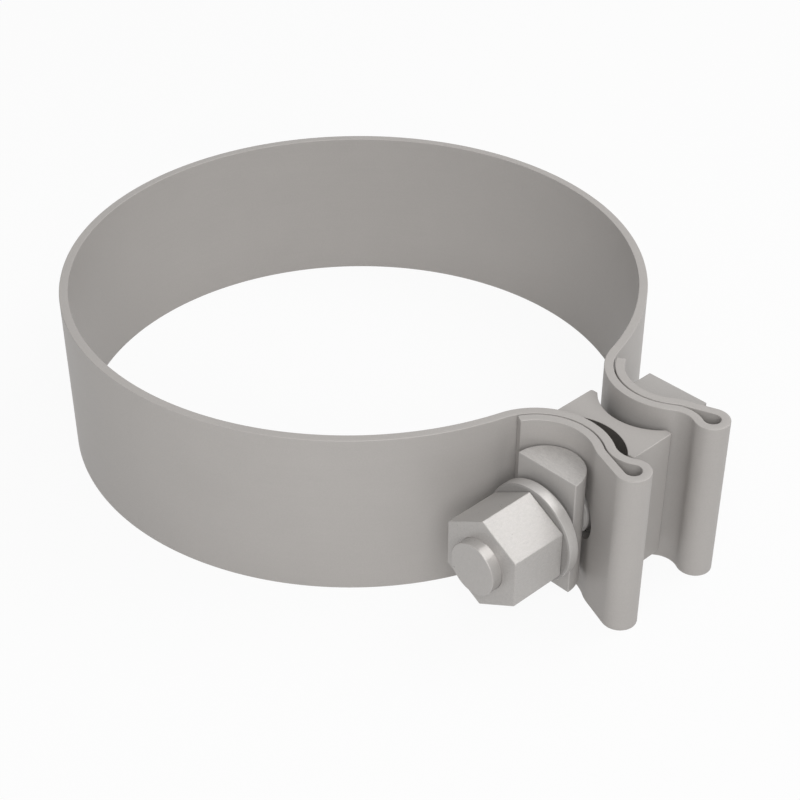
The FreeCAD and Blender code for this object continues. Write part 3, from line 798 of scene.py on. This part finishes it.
class CLAMP_OT_make_bar(bpy.types.Operator):
    """Makes the drilled half-round bar under the washer"""

    bl_idname = "clamp.make_bar"
    bl_label = "Make half-round bar"

    def execute(self, context):
        sizes = context.scene.exhaust_clamp.fasteners
        steel = get_steel("drawn_bar_steel")
        low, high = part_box("half_round_bar")
        x = middle("half_round_bar", 0)
        outline = half_round(x, high.y, low.y, sizes.saddle)
        solid = prism_mesh("half_round_bar_piece", outline, low.z, high.z, 2)
        piece = new_piece("half_round_bar_piece", solid)
        bevel(piece, sizes.break_edge)
        drill(piece, sizes.hole, x, steel)
        # The sawn ends are bare metal with saw marks; their lighter colour is partly painted light, so that
        # the recessed top end reads as lit
        give_faces(piece, get_steel("sawn_end_steel"), lambda centre, normal: abs(normal.z) > 0.9)
        finish_piece(piece, "half_round_bar", "clamp_body")
        return {"FINISHED"}


class CLAMP_OT_make_washer(bpy.types.Operator):
    """Makes the flat washer"""

    bl_idname = "clamp.make_washer"
    bl_label = "Make washer"

    def execute(self, context):
        sizes = context.scene.exhaust_clamp.fasteners
        # The rim's lighter colour is a painted highlight
        steel = get_steel("stamped_rim_steel")
        radius = span("washer", 0) / 2
        piece = new_piece("flat_washer", bpy.data.meshes.new("flat_washer"))
        run_tree(
            piece, washer_tree(), Middle_Radius=(radius + sizes.hole) / 2, Ring_Width=radius - sizes.hole,
            Thickness=span("washer", 1), Edge_Round=sizes.washer_edge, Steel=steel)
        settle(piece, steel)
        turn = Matrix.Rotation(math.radians(90), 4, "X")
        place = Matrix.Translation([middle("washer", axis) for axis in range(3)])
        piece.data.transform(place @ turn)
        work = bmesh.new()
        work.from_mesh(piece.data)
        piece.data = close_mesh("flat_washer", work)
        even_shade(piece, steel)
        # Painted shade: the flat faces get the darker washer steel, for the shade next to the nut
        give_faces(piece, get_steel("dull_washer_steel"), lambda centre, normal: abs(normal.y) > 0.5)
        finish_piece(piece, "washer", "washer_body")
        return {"FINISHED"}


class CLAMP_OT_make_nut(bpy.types.Operator):
    """Makes the hexagon nut with its threaded bore"""

    bl_idname = "clamp.make_nut"
    bl_label = "Make nut"

    # The bore's clearance from the bolt, the depth of its lead and how far the cutter stands out
    clearance, lead, stand_out = 0.012 * MM, 0.05 * MM, 1 * MM
    # Distance between the rings that draw the thread, and how far they stay off the ends
    ring_step, off_end, run_out = 0.1 * MM, 0.2 * MM, 0.7 * MM
    columns = 72

    def execute(self, context):
        sizes = context.scene.exhaust_clamp.fasteners
        steel = get_steel("brushed_nut_steel")
        low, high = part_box("hex_nut")
        x = middle("hex_nut", 0)
        corner = span("hex_nut", 2) / 2
        turns = [math.radians(60 * k) for k in range(6)]
        outline = [(x + corner * math.sin(a), corner * math.cos(a)) for a in turns]
        piece = new_piece("hexagon_nut", prism_mesh("hexagon_nut", outline, low.y, high.y, 1))
        bevel(piece, sizes.break_edge)

        bore = sizes.shank + self.clearance
        mouth = bore + self.lead + self.stand_out
        first, last = low.y + self.off_end, high.y - self.off_end
        rings = np.linspace(first, last, round((last - first) / self.ring_step) + 1)
        profile = [(mouth, low.y - self.stand_out), (bore, low.y + self.lead)]
        profile += [(bore, float(y)) for y in rings]
        profile += [(bore, high.y - self.lead), (mouth, high.y + self.stand_out)]
        core = new_piece("core", turned_mesh("core", profile, x, self.columns))
        run_tree(
            core, thread_tree(), Axis_X=x, Wall_Radius=bore, Pitch=sizes.pitch,
            Depth=-sizes.nut_thread_depth, Thread_Low=low.y + self.lead,
            Thread_High=high.y - self.lead, Run_Out=self.run_out, Steel=steel)
        combine(piece, core, "DIFFERENCE", steel)
        finish_piece(piece, "hex_nut", "nut_body")
        return {"FINISHED"}


# Stage

FLOOR_RADIUS, FLOOR_DEPTH, FLOOR_CLEARANCE = 3.0, 0.01, 0.02 * MM
# The lamps stand round this place: name, direction from it, distance and diameter in metres
LIT_PLACE = Vector((0.055, 0.0, 0.0))
LAMPS = (
    ("key_lamp", (0.20, 0.56, 0.80), 0.55, 0.42),
    ("fill_lamp", (0.60, -0.57, 0.56), 0.70, 0.50),
)
# What throws a shadow from the key lamp: all but the nut and the washer, whose shadows would darken
# the bolt's tip
KEY_LAMP_SHADOWS = ("floor", "folded_strap", "bolt", "spacer_block", "half_round_bar_piece")
CAMERA_LENS, CAMERA_SENSOR = 76.325, 36.0
CAMERA_NEAR, CAMERA_FAR = 0.01, 20.0
CAMERA_PLACE = (0.206696, -0.184152, 0.180641)
CAMERA_FORWARD = (-0.592401, 0.561989, -0.577261)


def seen_rays(net):
    """1 for what the camera, a gloss or a see-through surface sees, 0 for light on its way."""
    rays = net.add("ShaderNodeLightPath").outputs
    seen = net.math("MAXIMUM", rays["Is Camera Ray"], rays["Is Glossy Ray"])
    return net.math("MAXIMUM", seen, rays["Is Transmission Ray"])


def mix_shaders(net, factor, one, other):
    mix = net.add("ShaderNodeMixShader", {"Fac": factor})
    net.tree.links.new(one.outputs[0], mix.inputs[1])
    net.tree.links.new(other.outputs[0], mix.inputs[2])
    return mix.outputs[0]


class CLAMP_OT_set_stage(bpy.types.Operator):
    """Sets the floor, the light and the camera"""

    bl_idname = "clamp.set_stage"
    bl_label = "Set stage"

    def execute(self, context):
        stage = context.scene.exhaust_clamp.stage
        self.floor(stage)
        self.room(context, stage)
        self.lamps(context, stage)
        self.camera(context)
        context.scene.view_settings.view_transform = "Standard"
        return {"FINISHED"}

    def floor(self, stage):
        """A round pale floor, which is nearly plain white as it is seen but keeps the shadow."""
        turns = [math.radians(5 * k) for k in range(72)]
        outline = [(FLOOR_RADIUS * math.cos(a), FLOOR_RADIUS * math.sin(a)) for a in turns]
        top = CAD_BOX[0].z - FLOOR_CLEARANCE
        floor = new_piece("floor", prism_mesh("floor", outline, top - FLOOR_DEPTH, top, 2))
        material = bpy.data.materials.new("pale_floor")
        material.use_nodes = True
        material.node_tree.nodes.clear()
        net = Wiring(material.node_tree)
        paint = net.add("ShaderNodeBsdfDiffuse", {"Color": (*stage.floor, 1.0)})
        white = net.add("ShaderNodeEmission", {"Color": (1.0, 1.0, 1.0, 1.0), "Strength": 1.0})
        whiteness = net.math("MULTIPLY", seen_rays(net), stage.floor_white)
        net.add("ShaderNodeOutputMaterial", {"Surface": mix_shaders(net, whiteness, paint, white)})
        floor.data.materials.append(material)

    def room(self, context, stage):
        """Even light from all round, seen as the plain backdrop."""
        world = bpy.data.worlds.new("pale_room")
        context.scene.world = world
        world.use_nodes = True
        world.node_tree.nodes.clear()
        net = Wiring(world.node_tree)
        light = net.add("ShaderNodeBackground", {"Color": (1.0, 1.0, 1.0, 1.0), "Strength": stage.room})
        shown = net.add("ShaderNodeBackground", {"Color": (*stage.backdrop, 1.0), "Strength": 1.0})
        net.add("ShaderNodeOutputWorld", {"Surface": mix_shaders(net, seen_rays(net), light, shown)})

    def lamps(self, context, stage):
        for (name, toward, distance, size), power in zip(LAMPS, (stage.key, stage.fill)):
            data = bpy.data.lights.new(name, "AREA")
            data.shape = "DISK"
            data.size = size
            data.energy = power
            lamp = bpy.data.objects.new(name, data)
            context.scene.collection.objects.link(lamp)
            direction = Vector(toward).normalized()
            lamp.location = LIT_PLACE + direction * distance
            lamp.rotation_mode = "QUATERNION"
            lamp.rotation_quaternion = direction.to_track_quat("Z", "Y")
        shadows = bpy.data.collections.new("key_lamp_shadows")
        for piece in KEY_LAMP_SHADOWS:
            shadows.objects.link(bpy.data.objects[piece])
        key_lamp = bpy.data.objects["key_lamp"]
        key_lamp.light_linking.blocker_collection = shadows
        # Without this, the nut and the washer would still hide the lamp's gloss
        key_lamp.data.cycles.use_multiple_importance_sampling = False

    def camera(self, context):
        data = bpy.data.cameras.new("camera")
        data.sensor_width = CAMERA_SENSOR
        data.lens = CAMERA_LENS
        data.clip_start, data.clip_end = CAMERA_NEAR, CAMERA_FAR
        camera = bpy.data.objects.new("camera", data)
        context.scene.collection.objects.link(camera)
        camera.location = CAMERA_PLACE
        camera.rotation_mode = "QUATERNION"
        camera.rotation_quaternion = Vector(CAMERA_FORWARD).to_track_quat("-Z", "Y")
        context.scene.camera = camera


class CLAMP_PT_panel(bpy.types.Panel):
    """Sizes, colours and steps of the exhaust clamp"""

    bl_label = "Exhaust clamp"
    bl_idname = "CLAMP_PT_panel"
    bl_space_type = "VIEW_3D"
    bl_region_type = "UI"
    bl_category = "Exhaust clamp"

    def draw(self, context):
        settings = context.scene.exhaust_clamp
        for title, group in (("Strap", settings.strap), ("Fasteners", settings.fasteners),
                             ("Finish", settings.finish), ("Stage", settings.stage)):
            box = self.layout.box()
            box.label(text=title)
            for name in group.__annotations__:
                box.prop(group, name)
        for step in STEPS:
            self.layout.operator(step.bl_idname)


STEPS = (
    CLAMP_OT_make_strap,
    CLAMP_OT_make_spacer,
    CLAMP_OT_make_bolt,
    CLAMP_OT_make_bar,
    CLAMP_OT_make_washer,
    CLAMP_OT_make_nut,
    CLAMP_OT_set_stage,
)
CLASSES = (
    ClampStrapSizes, ClampFastenerSizes, ClampFinish, ClampStage, ClampSettings, *STEPS, CLAMP_PT_panel)


def register():
    for cls in CLASSES:
        bpy.utils.register_class(cls)
    bpy.types.Scene.exhaust_clamp = PointerProperty(type=ClampSettings, name="Exhaust clamp")


def unregister():
    del bpy.types.Scene.exhaust_clamp
    for cls in reversed(CLASSES):
        bpy.utils.unregister_class(cls)


def main():
    register()
    bpy.ops.clamp.make_strap()
    bpy.ops.clamp.make_spacer()
    bpy.ops.clamp.make_bolt()
    bpy.ops.clamp.make_bar()
    bpy.ops.clamp.make_washer()
    bpy.ops.clamp.make_nut()
    bpy.ops.clamp.set_stage()


if __name__ == "__main__":
    main()
